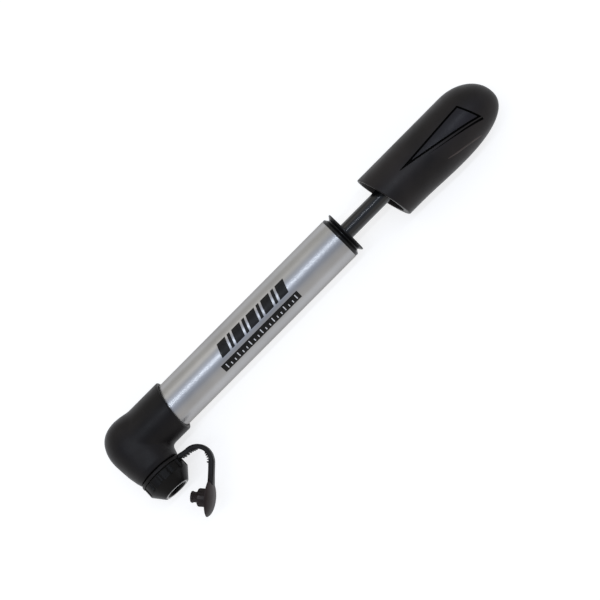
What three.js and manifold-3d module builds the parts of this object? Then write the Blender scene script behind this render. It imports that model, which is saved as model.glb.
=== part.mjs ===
// Mini pump: a hand pump for bicycle tyres, lying on its side and part drawn out.
// Millimetres. X runs along the barrel from the head to the handle, -Y is the way the nozzle
// points and +Z is up. All sizes are given with X = 0 on the nozzle's axis and Y = Z = 0 on the
// barrel's axis; at the end the whole group is moved to stand with its origin bottom centre.
import * as THREE from 'three';
import { mergeVertices } from 'three/addons/utils/BufferGeometryUtils.js';
import Module from 'manifold-3d';

const wasm = await Module();
wasm.setup();

// Fineness of turned pieces: large, middling and small diameters.
const FINE = 32;
const MIDDLE = 20;
const COARSE = 12;

// Barrel tube.
const BARREL = { start: 5.6, end: 133.5, outer: 11, inner: 10, bevel: 0.25 };

// Head: a sleeve along X over the barrel, and a column along Y that ends in the nozzle spigot.
const HEAD = {
  sleeve: 12.8,
  socket: 11.3,
  socketEnd: 4.1,
  mouthTop: 27.2,
  mouthBottom: 23.4,
  lip: 0.5,
  column: 13.3,
  crown: 13.7,
  waistY: -14.7,
  waist: 11.7,
  foot: 11.0,
  footY: -17.2,
  spigot: 9.2,
  spigotEnd: -24.2,
  chamber: 7.9,
  chamberTop: -12.6,
  air: 1.5,
  heel: 0.045,
};

// Nozzle cap, gland and core pin, all on the nozzle's axis.
const NOZZLE = {
  rim: 11.1,
  top: -19.6,
  shoulder: -23.8,
  face: -29.1,
  faceRadius: 6.9,
  edge: 0.3,
  mouth: 4.6,
  thread: 9.5,
  threadEnd: -24.6,
  seatRadius: 7.2,
  seat: -27.6,
  flutes: 12,
  fluteRadius: 1.3,
  fluteOut: 0.6,
};
const GLAND = { outer: 7.6, top: -14.4, shoulder: -25.2, end: -27.3, tip: 6.3, hole: 3.9 };
const CORE_PIN = {
  radius: 7.6,
  top: -12.9,
  bottom: -14.1,
  pin: 1.0,
  tip: -20.2,
  ports: 4,
  port: 1.0,
  portOut: 3.6,
};

// Tether: a ring round the spigot, a strap and a dust cap with a stepped plug.
const RING = { inner: 9.5, outer: 11.3, top: -17.8, bottom: -19.3 };
const STRAP = {
  start: 11.7,
  rootY: -19.1,
  width: 4.0,
  thick: 2.3,
  arcX: 15.7,
  arcY: -26.45,
  arc: 6.75,
  turnEnd: -45,
  teeth: 9,
  tooth: 0.6,
};
const CAP = {
  x: 7.4,
  y: -41.6,
  facing: 131.8,
  radius: 8.7,
  face: -0.65,
  rim: 0.3,
  dome: 2.7,
  collarRadius: 4.25,
  collarHeight: 4.7,
  tipRadius: 2.75,
  tipHeight: 3.4,
  bead: 0.25,
};

// Non-return valve in the barrel's bottom.
const GASKET = { start: 4.4, end: 5.3, inner: 3.2, outer: 11 };
const PLUG = { start: 5.6, end: 14.4, outer: 9.7, bore: 2.6, boreEnd: 11.1, seat: 1.4, groove: 7.9 };
const PLUG_RING = { x: 10.2, radius: 8.85, section: 0.85, room: 1.25 };
const BALL = { x: 9.35, radius: 2.0 };
const SPRING = { start: 4.65, end: 7.0, radius: 1.75, wire: 0.2, turns: 3.5, sides: 6, steps: 44 };

// Collar, bushing and wiper at the front of the barrel.
const COLLAR = {
  spigotStart: 119.4,
  flangeStart: 133.8,
  end: 138.2,
  spigot: 9.7,
  flange: 10.9,
  groove: 9.5,
  grooveX: 136.0,
  bore: 4.6,
  pocket: 6.6,
  pocketEnd: 130.8,
  wiperPocket: 6.4,
  wiperStart: 135.3,
};
const BUSHING = { start: 119.8, end: 130.4, inner: 4.3, outer: 6.3 };
const WIPER = { start: 135.6, end: 138.0, inner: 4.3, outer: 6.1 };

// Rod and piston.
const ROD = { start: 71.4, end: 214, outer: 4.0, inner: 2.8 };
const PISTON = {
  start: 67,
  end: 76.5,
  land: 9.6,
  sealStart: 68.5,
  sealEnd: 72.2,
  sealGroove: 7.3,
  guideStart: 73.2,
  guideEnd: 75.4,
  guideGroove: 8.5,
  socket: 4.3,
  socketStart: 71.0,
};
const SEAL = { x: 69.85, radius: 8.75, section: 1.05 };
const GUIDE = { start: 73.5, end: 75.1, inner: 8.8, outer: 9.75 };
const BUMPER = { start: 76.8, end: 79.0, inner: 4.3, outer: 8.4 };

// Handle: bullet-shaped shell, fuller on the nozzle side, with its mouth cut at a slant.
const HANDLE = {
  mouthTop: 157.9,
  mouthBottom: 164.3,
  tip: 230.0,
  tipY: -2.0,
  top: 13.0,
  topNose: 211,
  bottom: -15.0,
  belly: -15.8,
  bellyStart: 172,
  bottomNose: 197,
  side: 13.2,
  sideNose: 205,
  topRound: 2.0,
  bottomRound: 2.45,
  socket: 11.6,
  socketEnd: 192,
  core: 6.0,
  coreEnd: 218,
  around: 40,
};
const CORE = { start: 192.3, end: 217.6, inner: 4.3, outer: 5.7 };
const PIN = { x: 205, radius: 1.0, hole: 1.35, half: 5.3 };
const STOP_WASHER = { start: 190.6, end: 191.7, inner: 4.4, outer: 9.6 };

// Inlay panel in each side of the handle: a long triangle with its point towards the barrel.
const INLAY = {
  tipX: 173.3,
  tipY: -0.6,
  topX: 212.6,
  topY: 2.1,
  lowX: 217.3,
  lowY: -8.8,
  pocket: 0.9,
  sunk: 0.1,
  thick: 0.5,
  edge: 0.3,
};

const FINISH = {
  aluminium: new THREE.MeshStandardMaterial({ color: 0xb4b8bf, roughness: 0.35, metalness: 0.9 }),
  blackPlastic: new THREE.MeshStandardMaterial({ color: 0x1b1a1b, roughness: 0.6 }),
  softGrip: new THREE.MeshStandardMaterial({ color: 0x2b292b, roughness: 0.7 }),
  glossRod: new THREE.MeshStandardMaterial({ color: 0x101010, roughness: 0.15, metalness: 0.3 }),
  rubber: new THREE.MeshStandardMaterial({ color: 0x141414, roughness: 0.85 }),
  nylon: new THREE.MeshStandardMaterial({ color: 0xe4e2da, roughness: 0.5 }),
  steel: new THREE.MeshStandardMaterial({ color: 0xa9abad, roughness: 0.3, metalness: 0.9 }),
};

/** The volume that a mesh's faces enclose, negative when they face inwards. */
function signedVolume(geometry) {
  const position = geometry.getAttribute('position');
  const index = geometry.getIndex();
  const [a, b, c] = [new THREE.Vector3(), new THREE.Vector3(), new THREE.Vector3()];
  let volume = 0;
  for (let i = 0; i < index.count; i += 3) {
    a.fromBufferAttribute(position, index.getX(i));
    b.fromBufferAttribute(position, index.getX(i + 1));
    c.fromBufferAttribute(position, index.getX(i + 2));
    volume += a.dot(b.cross(c)) / 6;
  }
  return volume;
}

/** A closed mesh with shared corners, no needle triangles, and its faces pointing out. */
function closed(geometry) {
  const bare = geometry.clone();
  bare.deleteAttribute('normal');
  bare.deleteAttribute('uv');
  const merged = mergeVertices(bare, 1e-4);
  const old = merged.getIndex();
  const kept = [];
  for (let i = 0; i < old.count; i += 3) {
    const face = [old.getX(i), old.getX(i + 1), old.getX(i + 2)];
    if (new Set(face).size === 3) kept.push(...face);
  }
  merged.setIndex(kept);
  if (signedVolume(merged) < 0) merged.setIndex(kept.reverse());
  return merged;
}

function toManifold(geometry) {
  return new wasm.Manifold(new wasm.Mesh({
    numProp: 3,
    vertProperties: new Float32Array(geometry.getAttribute('position').array),
    triVerts: new Uint32Array(geometry.getIndex().array),
  }));
}

function fromManifold(manifold) {
  const mesh = manifold.getMesh();
  const geometry = new THREE.BufferGeometry();
  geometry.setAttribute('position', new THREE.BufferAttribute(mesh.vertProperties, 3));
  geometry.setIndex(new THREE.BufferAttribute(mesh.triVerts, 1));
  return geometry;
}

const cut = (body, ...tools) =>
  fromManifold(tools.reduce((rest, tool) => rest.subtract(toManifold(tool)), toManifold(body)));
const join = (body, ...more) =>
  fromManifold(more.reduce((all, other) => all.add(toManifold(other)), toManifold(body)));
const common = (body, other) => fromManifold(toManifold(body).intersect(toManifold(other)));

/** A body turned about Y from [radius, height] corners; a ring's profile closes on itself. */
function turnedY(corners, segments) {
  const points = corners.map(([radius, height]) => new THREE.Vector2(radius, height));
  const onAxis = corners[0][0] === 0;
  if (!onAxis) points.push(points[0].clone());
  return closed(new THREE.LatheGeometry(points, segments));
}

/** The same, turned about X, with the heights along X. */
const turnedX = (corners, segments) => turnedY(corners, segments).rotateZ(-Math.PI / 2);

/** The four corners of a plain ring's section. */
const band = (inner, outer, start, end) => [[inner, start], [outer, start], [outer, end], [inner, end]];

/** The corners of a rod's half section, closed on the axis. */
const bar = (radius, start, end) => [[0, start], [radius, start], [radius, end], [0, end]];

/** The corners of an O-ring's round section. */
function roundSection(radius, height, section, corners) {
  return Array.from({ length: corners }, (_, i) => {
    const angle = (2 * Math.PI * i) / corners;
    return [radius + section * Math.cos(angle), height + section * Math.sin(angle)];
  });
}

/** A closed body through rings of points, with a fan over each end. */
function loft(rings) {
  const around = rings[0].length;
  const corners = rings.flat();
  const faces = [];
  for (let r = 0; r + 1 < rings.length; r += 1) {
    for (let i = 0; i < around; i += 1) {
      const next = (i + 1) % around;
      const [a, b] = [r * around + i, r * around + next];
      faces.push(a, b, b + around, a, b + around, a + around);
    }
  }
  const addEnd = (first, flip) => {
    const middle = new THREE.Vector3();
    for (let i = 0; i < around; i += 1) middle.add(corners[first + i]);
    corners.push(middle.divideScalar(around));
    for (let i = 0; i < around; i += 1) {
      const [a, b] = [first + i, first + ((i + 1) % around)];
      faces.push(corners.length - 1, flip ? b : a, flip ? a : b);
    }
  };
  addEnd(0, true);
  addEnd((rings.length - 1) * around, false);
  const geometry = new THREE.BufferGeometry().setFromPoints(corners);
  geometry.setIndex(faces);
  return closed(geometry);
}

/** A block whose lower-X side is the slanted plane through two points at heights y0 and y1. */
function slantedEnd(xAtTop, yTop, xAtBottom, yBottom, reach) {
  const outline = new THREE.Shape([
    new THREE.Vector2(xAtTop + (xAtTop - xAtBottom), yTop + (yTop - yBottom)),
    new THREE.Vector2(xAtBottom - (xAtTop - xAtBottom), yBottom - (yTop - yBottom)),
    new THREE.Vector2(xAtBottom + reach, yBottom - (yTop - yBottom)),
    new THREE.Vector2(xAtTop + reach, yTop + (yTop - yBottom)),
  ]);
  const depth = 60;
  return closed(new THREE.ExtrudeGeometry(outline, { depth, bevelEnabled: false }).translate(0, 0, -depth / 2));
}

function barrelTube() {
  const { inner, outer, start, end, bevel } = BARREL;
  return turnedX([[inner, start], [outer - bevel, start], [outer, start + bevel], [outer, end - bevel],
    [outer - bevel, end], [inner, end]], FINE);
}

/** How much of the heel's swelling there is at a height: all of it low on the column, none at its ends. */
function heelShare(y) {
  const { smoothstep } = THREE.MathUtils;
  return smoothstep(y, -16, -9) * (1 - smoothstep(y, -2, 9));
}

/** The column swells a little on the side away from the barrel. */
function swellHeel(geometry) {
  const position = geometry.getAttribute('position');
  for (let i = 0; i < position.count; i += 1) {
    const x = position.getX(i);
    if (x < 0) position.setX(i, x * (1 + HEAD.heel * heelShare(position.getY(i))));
  }
  return geometry;
}

/** The elbow's skin: a domed column along Y, joined to the sleeve along X. */
function headBody() {
  const dome = [];
  const domeSteps = 8;
  const domePower = 2.6;
  for (let i = 0; i <= domeSteps; i += 1) {
    const angle = (Math.PI / 2) * (i / domeSteps);
    const out = HEAD.column * Math.sin(angle) ** (2 / domePower);
    const up = HEAD.crown * Math.cos(angle) ** (2 / domePower);
    dome.push([i === 0 ? 0 : out, up]);
  }
  const taper = [0.25, 0.5, 0.75, 1].map((t) => [
    THREE.MathUtils.lerp(HEAD.column, HEAD.waist, t),
    HEAD.waistY * t,
  ]);
  const foot = [[HEAD.foot, HEAD.footY + HEAD.lip], [HEAD.foot - HEAD.lip, HEAD.footY]];
  const spigot = [[HEAD.spigot, HEAD.footY], [HEAD.spigot, HEAD.spigotEnd], [0, HEAD.spigotEnd]];
  const column = swellHeel(turnedY([...dome, ...taper, ...foot, ...spigot], FINE));
  const sleeve = turnedX(bar(HEAD.sleeve, 0, HEAD.mouthTop + 2), FINE);
  const mouth = slantedEnd(HEAD.mouthTop, HEAD.sleeve, HEAD.mouthBottom, -HEAD.sleeve, 20);
  return join(cut(sleeve, mouth), column);
}

function pumpHead() {
  const socket = turnedX(bar(HEAD.socket, HEAD.socketEnd, HEAD.mouthTop + 5), FINE);
  const chamber = turnedY(bar(HEAD.chamber, HEAD.spigotEnd - 1, HEAD.chamberTop), MIDDLE);
  const riser = turnedY(bar(HEAD.air, HEAD.chamberTop - 1, HEAD.air), COARSE);
  const crossing = turnedX(bar(HEAD.air, -HEAD.air, HEAD.socketEnd + 1), COARSE);
  return cut(headBody(), socket, chamber, riser, crossing);
}

/** Grip flutes: rods laid round the rim, each ending in a rounded tip at the shoulder. */
function fluteCutters() {
  const { rim, top, shoulder, fluteRadius, fluteOut, flutes } = NOZZLE;
  const corners = [[0, shoulder - 0.4], [fluteRadius * 0.7, shoulder], [fluteRadius, shoulder + 0.9],
    [fluteRadius, top + 1], [0, top + 1]];
  const rod = turnedY(corners, 12).translate(rim + fluteOut, 0, 0);
  return Array.from({ length: flutes }, (_, i) => rod.clone().rotateY((2 * Math.PI * i) / flutes));
}

/** A plain sleeve along X from its inner and outer radius, start and end. */
const sleeveX = (s) => turnedX(band(s.inner, s.outer, s.start, s.end), MIDDLE);

/** A ring of round section about X. */
const roundRingX = (r) => turnedX(roundSection(r.radius, r.x, r.section, 8), MIDDLE);

const tetherRing = () => turnedY(band(RING.inner, RING.outer, RING.bottom, RING.top), FINE);

const rodPin = () => turnedY(bar(PIN.radius, -PIN.half, PIN.half), 12).translate(PIN.x, 0, 0);

function nozzleCap() {
  const n = NOZZLE;
  const blank = turnedY([[n.thread, n.top], [n.rim - n.edge, n.top], [n.rim, n.top - n.edge], [n.rim, n.shoulder],
    [n.faceRadius, n.face + n.edge], [n.faceRadius - n.edge, n.face], [n.mouth + n.edge, n.face],
    [n.mouth, n.face + n.edge], [n.mouth, n.seat], [n.seatRadius, n.seat], [n.thread, n.threadEnd]], FINE);
  return cut(blank, ...fluteCutters());
}

function valveGland() {
  const g = GLAND;
  return turnedY([[g.hole, g.top], [g.outer, g.top], [g.outer, g.shoulder], [g.tip, g.end], [g.hole, g.end]], MIDDLE);
}

function corePin() {
  const c = CORE_PIN;
  const disc = turnedY([[0, c.top], [c.radius, c.top], [c.radius, c.bottom], [c.pin, c.bottom], [c.pin, c.tip],
    [0, c.tip]], COARSE);
  const port = turnedY(bar(c.port, c.bottom - 1, c.top + 1), 10).translate(c.portOut, 0, 0);
  const ports = Array.from({ length: c.ports }, (_, i) => port.clone().rotateY((2 * Math.PI * i) / c.ports));
  return cut(disc, ...ports);
}

/** The strap's middle line: out of the ring, over in an arc, and straight down to the dust cap. */
function strapRoute() {
  const s = STRAP;
  const arcPoint = (degrees, radius) => {
    const angle = THREE.MathUtils.degToRad(degrees);
    return new THREE.Vector2(s.arcX + radius * Math.cos(angle), s.arcY + radius * Math.sin(angle));
  };
  const rim = THREE.MathUtils.degToRad(CAP.facing - 90);
  const capDirection = new THREE.Vector2(Math.cos(rim), Math.sin(rim));
  const end = new THREE.Vector2(CAP.x, CAP.y).addScaledVector(capDirection, CAP.radius + 0.35);
  return { arcPoint, end };
}

/** The strap's side outline, with a row of small teeth on the inside of its arc. */
function tetherStrap() {
  const s = STRAP;
  const { arcPoint, end } = strapRoute();
  const half = s.thick / 2;
  const outer = [];
  const inner = [];
  const arcSteps = 12;
  for (let i = 0; i <= arcSteps; i += 1) {
    const degrees = 90 + ((s.turnEnd - 90) * i) / arcSteps;
    outer.push(arcPoint(degrees, s.arc + half));
  }
  for (let i = 0; i <= s.teeth * 2; i += 1) {
    const degrees = 90 + ((s.turnEnd - 90) * i) / (s.teeth * 2);
    const tooth = i % 2 === 1 ? s.tooth : 0;
    inner.push(arcPoint(degrees, s.arc - half - tooth));
  }
  const along = end.clone().sub(arcPoint(s.turnEnd, s.arc)).normalize();
  const across = new THREE.Vector2(-along.y, along.x).multiplyScalar(half);
  const outline = [
    new THREE.Vector2(s.start, s.rootY + half),
    ...outer,
    end.clone().add(across),
    end.clone().sub(across),
    ...inner.reverse(),
    new THREE.Vector2(s.start, s.rootY - half),
  ];
  const bar3d = new THREE.ExtrudeGeometry(new THREE.Shape(outline), { depth: s.width, bevelEnabled: false });
  return closed(bar3d.translate(0, 0, -s.width / 2));
}

/** The dust cap, turned about its own axis and then faced towards the nozzle. */
function dustCap() {
  const c = CAP;
  const dome = [];
  const domeSteps = 7;
  for (let i = 0; i <= domeSteps; i += 1) {
    const angle = (Math.PI / 2) * (i / domeSteps);
    dome.push([i === 0 ? 0 : c.radius * Math.sin(angle), c.face - c.rim - c.dome * Math.cos(angle)]);
  }
  const shoulder = c.face + c.collarHeight;
  const tip = shoulder + c.tipHeight;
  const corners = [...dome, [c.radius, c.face], [c.collarRadius, c.face], [c.collarRadius, shoulder - c.bead],
    [c.collarRadius - c.bead, shoulder], [c.tipRadius - c.bead, shoulder], [c.tipRadius - c.bead, tip - 1.2],
    [c.tipRadius, tip - 0.8], [c.tipRadius, tip - c.bead], [c.tipRadius - c.bead, tip], [0, tip]];
  const turn = THREE.MathUtils.degToRad(c.facing - 90);
  return turnedY(corners, MIDDLE).rotateZ(turn).translate(c.x, c.y, 0);
}

function barrelPlug() {
  const p = PLUG;
  const { x, room } = PLUG_RING;
  return turnedX([[p.bore, p.start], [p.outer, p.start], [p.outer, x - room], [p.groove, x - room],
    [p.groove, x + room], [p.outer, x + room], [p.outer, p.end], [p.seat, p.end], [p.seat, p.boreEnd],
    [p.bore, p.boreEnd]], FINE);
}

function checkBall() {
  const steps = 10;
  const corners = Array.from({ length: steps + 1 }, (_, i) => {
    const angle = Math.PI * (i / steps);
    const onPole = i === 0 || i === steps;
    return [onPole ? 0 : BALL.radius * Math.sin(angle), BALL.x - BALL.radius * Math.cos(angle)];
  });
  return turnedX(corners, COARSE);
}

function checkSpring() {
  const s = SPRING;
  class Helix extends THREE.Curve {
    getPoint(t) {
      const angle = 2 * Math.PI * s.turns * t;
      const x = s.start + (s.end - s.start) * t;
      return new THREE.Vector3(x, s.radius * Math.cos(angle), s.radius * Math.sin(angle));
    }
  }
  const section = new THREE.Shape(Array.from({ length: s.sides }, (_, i) => {
    const angle = (2 * Math.PI * i) / s.sides;
    return new THREE.Vector2(s.wire * Math.cos(angle), s.wire * Math.sin(angle));
  }));
  return closed(new THREE.ExtrudeGeometry(section, { steps: s.steps, extrudePath: new Helix() }));
}

function barrelCollar() {
  const c = COLLAR;
  return turnedX([[c.pocket, c.spigotStart], [c.spigot, c.spigotStart], [c.spigot, c.flangeStart],
    [c.flange, c.flangeStart], [c.flange, c.grooveX - 1], [c.groove, c.grooveX], [c.flange, c.grooveX + 1],
    [c.flange, c.end - 0.4], [c.flange - 0.4, c.end], [c.wiperPocket, c.end], [c.wiperPocket, c.wiperStart],
    [c.bore, c.wiperStart], [c.bore, c.pocketEnd], [c.pocket, c.pocketEnd]], FINE);
}

function pistonHead() {
  const p = PISTON;
  return turnedX([[0, p.start], [p.land - 0.4, p.start], [p.land, p.start + 0.4], [p.land, p.sealStart],
    [p.sealGroove, p.sealStart], [p.sealGroove, p.sealEnd], [p.land, p.sealEnd], [p.land, p.guideStart],
    [p.guideGroove, p.guideStart], [p.guideGroove, p.guideEnd], [p.land, p.guideEnd], [p.land, p.end],
    [p.socket, p.end], [p.socket, p.socketStart], [0, p.socketStart]], FINE);
}

function pistonRod() {
  const tube = turnedX(band(ROD.inner, ROD.outer, ROD.start, ROD.end), MIDDLE);
  return cut(tube, crossHole());
}

/** The hole for the pin that locks the handle to the rod, straight through along Y. */
const crossHole = () => turnedY(bar(PIN.hole, -8, 8), 16).translate(PIN.x, 0, 0);

const superellipse = (share, power) => Math.max(0, 1 - share ** power) ** (1 / power);

/** The handle's cross-section at x, drawn in by inset on every side. */
function handleRing(x, inset) {
  const h = HANDLE;
  const into = (start) => THREE.MathUtils.clamp((x - start) / (h.tip - start), 0, 1);
  const swell = THREE.MathUtils.smoothstep(x, h.bellyStart, h.bottomNose);
  const low = h.bottom + (h.belly - h.bottom) * swell;
  const top = h.tipY + (h.top - h.tipY) * superellipse(into(h.topNose), h.topRound);
  const bottom = h.tipY + (low - h.tipY) * superellipse(into(h.bottomNose), h.bottomRound);
  const side = h.side * superellipse(into(h.sideNose), h.topRound);
  const middle = (top + bottom) / 2;
  const high = Math.max((top - bottom) / 2 - inset, 0.05);
  const wide = Math.max(side - inset, 0.05);
  return Array.from({ length: h.around }, (_, i) => {
    const angle = (2 * Math.PI * i) / h.around;
    return new THREE.Vector3(x, middle + high * Math.cos(angle), wide * Math.sin(angle));
  });
}

/** The handle's outer form without its mouth or sockets. */
function handleForm(inset) {
  const h = HANDLE;
  const straight = [h.mouthTop - 2, 166, h.bellyStart, 180, 188, h.bottomNose, h.sideNose];
  const noseSteps = 12;
  const rings = straight.map((x) => handleRing(x, inset));
  for (let i = 1; i <= noseSteps; i += 1) {
    const share = Math.sin((Math.PI / 2) * (i / noseSteps));
    rings.push(handleRing(h.sideNose + (h.tip - inset - h.sideNose) * share, inset));
  }
  return loft(rings);
}

/** A prism over the inlay's outline on one side of the handle, drawn in by margin. */
function inlayPrism(side, margin) {
  const i = INLAY;
  const tip = [i.tipX + 4 * margin, i.tipY];
  const low = [i.lowX - margin, i.lowY + margin];
  const top = [i.topX - margin, i.topY - margin];
  const corners = [tip, low, top];
  const outline = new THREE.Shape(corners.map(([x, y]) => new THREE.Vector2(x, y)));
  const reach = 14;
  const prism = new THREE.ExtrudeGeometry(outline, { depth: reach, bevelEnabled: false });
  return closed(prism.translate(0, 0, side > 0 ? 3 : -3 - reach));
}

function handleShell() {
  const h = HANDLE;
  const socket = turnedX(bar(h.socket, h.mouthTop - 10, h.socketEnd), FINE);
  const coreSeat = turnedX(bar(h.core, h.socketEnd - 1, h.coreEnd), MIDDLE);
  const behindMouth = slantedEnd(h.mouthTop, h.top, h.mouthBottom, h.bottom, 100);
  const shell = cut(common(handleForm(0), behindMouth), socket, coreSeat);
  const pockets = [1, -1].map((side) => cut(inlayPrism(side, 0), handleForm(INLAY.pocket)));
  return cut(shell, ...pockets);
}

function gripInlay(side) {
  const { sunk, thick, edge } = INLAY;
  const skin = cut(handleForm(sunk), handleForm(sunk + thick));
  return common(skin, inlayPrism(side, edge));
}

function handleCore() {
  return cut(turnedX(band(CORE.inner, CORE.outer, CORE.start, CORE.end), MIDDLE), crossHole());
}

const pump = new THREE.Group();

function addPiece(name, geometry, finish) {
  const mesh = new THREE.Mesh(geometry, finish);
  mesh.name = name;
  pump.add(mesh);
}

addPiece('barrel', barrelTube(), FINISH.aluminium);
addPiece('pump_head', pumpHead(), FINISH.blackPlastic);
addPiece('nozzle_cap', nozzleCap(), FINISH.blackPlastic);
addPiece('valve_gland', valveGland(), FINISH.rubber);
addPiece('core_pin', corePin(), FINISH.nylon);
addPiece('tether_ring', tetherRing(), FINISH.rubber);
addPiece('tether_strap', tetherStrap(), FINISH.rubber);
addPiece('dust_cap', dustCap(), FINISH.rubber);
addPiece('barrel_gasket', sleeveX(GASKET), FINISH.rubber);
addPiece('barrel_plug', barrelPlug(), FINISH.nylon);
addPiece('plug_o_ring', roundRingX(PLUG_RING), FINISH.rubber);
addPiece('check_ball', checkBall(), FINISH.steel);
addPiece('check_spring', checkSpring(), FINISH.steel);
addPiece('barrel_collar', barrelCollar(), FINISH.blackPlastic);
addPiece('rod_bushing', sleeveX(BUSHING), FINISH.nylon);
addPiece('rod_wiper', sleeveX(WIPER), FINISH.rubber);
addPiece('piston_rod', pistonRod(), FINISH.glossRod);
addPiece('piston_head', pistonHead(), FINISH.nylon);
addPiece('piston_seal', roundRingX(SEAL), FINISH.rubber);
addPiece('guide_ring', sleeveX(GUIDE), FINISH.nylon);
addPiece('rod_bumper', sleeveX(BUMPER), FINISH.rubber);
addPiece('handle_shell', handleShell(), FINISH.softGrip);
addPiece('grip_inlay_left', gripInlay(1), FINISH.softGrip);
addPiece('grip_inlay_right', gripInlay(-1), FINISH.softGrip);
addPiece('handle_core', handleCore(), FINISH.blackPlastic);
addPiece('rod_pin', rodPin(), FINISH.steel);
addPiece('stop_washer', sleeveX(STOP_WASHER), FINISH.rubber);

// The origin goes to the bottom centre of the whole pump.
const box = new THREE.Box3().setFromObject(pump);
pump.position.set(-(box.min.x + box.max.x) / 2, -(box.min.y + box.max.y) / 2, -box.min.z);

export default pump;
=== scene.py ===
"""Mini pump: the looks of a bicycle hand pump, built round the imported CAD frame.

Lengths inside the builders are millimetres from the pump's own working point: x = 0 on the nozzle's
axis, y = z = 0 on the barrel's axis. row() turns them into metres in the frame's coordinates.
"""

import math

import bpy
import numpy as np
from mathutils import Matrix, Vector


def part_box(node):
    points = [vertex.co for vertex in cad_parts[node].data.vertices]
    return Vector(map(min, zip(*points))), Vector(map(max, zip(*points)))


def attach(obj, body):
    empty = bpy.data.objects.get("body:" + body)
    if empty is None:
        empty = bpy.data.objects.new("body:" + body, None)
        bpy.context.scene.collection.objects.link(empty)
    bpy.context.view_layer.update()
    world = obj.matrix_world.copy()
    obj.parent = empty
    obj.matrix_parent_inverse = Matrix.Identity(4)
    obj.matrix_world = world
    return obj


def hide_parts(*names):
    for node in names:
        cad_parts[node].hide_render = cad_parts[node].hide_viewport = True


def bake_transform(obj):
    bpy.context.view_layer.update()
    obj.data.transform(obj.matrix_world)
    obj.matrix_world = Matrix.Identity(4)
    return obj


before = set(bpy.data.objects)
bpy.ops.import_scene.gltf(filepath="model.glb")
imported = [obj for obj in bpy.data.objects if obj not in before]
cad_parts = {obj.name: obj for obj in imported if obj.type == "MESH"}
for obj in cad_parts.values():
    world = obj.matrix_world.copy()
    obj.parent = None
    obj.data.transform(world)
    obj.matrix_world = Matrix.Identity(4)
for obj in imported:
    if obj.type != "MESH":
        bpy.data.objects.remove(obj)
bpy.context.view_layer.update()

MM = 0.001


def middle(node):
    low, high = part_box(node)
    return (low + high) / 2


# The working point, read off the frame: nozzle axis in x, barrel axis in y and z.
ORIGIN = Vector((middle("nozzle_cap").x, middle("barrel").y, middle("barrel").z))


def row(x, y, z):
    """A working point in mm as a place in the frame, in metres."""
    return ORIGIN + Vector((x, y, z)) * MM


def span(node, axis):
    """A node's lowest and highest working coordinate in mm along axis 0, 1 or 2."""
    low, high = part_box(node)
    return (low[axis] - ORIGIN[axis]) / MM, (high[axis] - ORIGIN[axis]) / MM


# ---------------------------------------- camera

CAMERA = {
    "target": (101.0, -7.2, 0.0),
    "distance": 630.0,
    "elevation": 77.6,
    "lean": 2.4,
    "barrel_slope": 45.12,
    "lens": 82.5,
}


def add_camera():
    """A camera high over the nozzle side, rolled so that the barrel climbs to the right."""
    c = CAMERA
    elevation, lean, slope = (math.radians(c[k]) for k in ("elevation", "lean", "barrel_slope"))
    level = math.cos(lean)
    back = Vector((math.sin(lean), -math.cos(elevation) * level, math.sin(elevation) * level))
    back.normalize()
    along = Vector((1, 0, 0)) - back * back.x
    along.normalize()
    across = back.cross(along)
    right = along * math.cos(slope) - across * math.sin(slope)
    up = along * math.sin(slope) + across * math.cos(slope)
    place = row(*c["target"]) + back * c["distance"] * MM
    camera = bpy.data.objects.new("camera", bpy.data.cameras.new("camera"))
    camera.data.lens = c["lens"]
    camera.data.clip_start = 0.01
    camera.matrix_world = Matrix.Translation(place) @ Matrix((right, up, back)).transposed().to_4x4()
    bpy.context.scene.collection.objects.link(camera)
    bpy.context.scene.camera = camera


add_camera()

# ---------------------------------------- materials


def new_material(name):
    material = bpy.data.materials.new(name)
    material.use_nodes = True
    tree = material.node_tree
    shader = tree.nodes["Principled BSDF"]
    coordinates = tree.nodes.new("ShaderNodeTexCoord").outputs["Object"]
    return material, tree, shader, coordinates


def noise(tree, coordinates, scale, detail=3.0, stretch=None, seed=0.0):
    """A noise value; scale is in cycles per metre, and stretch scales each axis first."""
    if stretch or seed:
        mapping = tree.nodes.new("ShaderNodeMapping")
        mapping.inputs["Scale"].default_value = stretch or (1, 1, 1)
        mapping.inputs["Location"].default_value = (seed, seed * 0.7, -seed)
        tree.links.new(coordinates, mapping.inputs["Vector"])
        coordinates = mapping.outputs["Vector"]
    texture = tree.nodes.new("ShaderNodeTexNoise")
    texture.inputs["Scale"].default_value = scale
    texture.inputs["Detail"].default_value = detail
    tree.links.new(coordinates, texture.inputs["Vector"])
    return texture.outputs["Fac"]


def remap(tree, value, low, high, start=0.3, end=0.7):
    node = tree.nodes.new("ShaderNodeMapRange")
    node.inputs["From Min"].default_value = start
    node.inputs["From Max"].default_value = end
    node.inputs["To Min"].default_value = low
    node.inputs["To Max"].default_value = high
    tree.links.new(value, node.inputs["Value"])
    return node.outputs["Result"]


def ramp_colours(tree, value, first, second):
    mix = tree.nodes.new("ShaderNodeMix")
    mix.data_type = "RGBA"
    mix.inputs["A"].default_value = (*first, 1)
    mix.inputs["B"].default_value = (*second, 1)
    tree.links.new(value, mix.inputs["Factor"])
    return mix.outputs["Result"]


def bump(tree, shader, layers):
    """Stacked bumps; each layer is (height value, strength, depth in mm)."""
    normal = None
    for height, strength, depth in layers:
        node = tree.nodes.new("ShaderNodeBump")
        node.inputs["Strength"].default_value = strength
        node.inputs["Distance"].default_value = depth * MM
        tree.links.new(height, node.inputs["Height"])
        if normal:
            tree.links.new(normal, node.inputs["Normal"])
        normal = node.outputs["Normal"]
    tree.links.new(normal, shader.inputs["Normal"])


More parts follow.
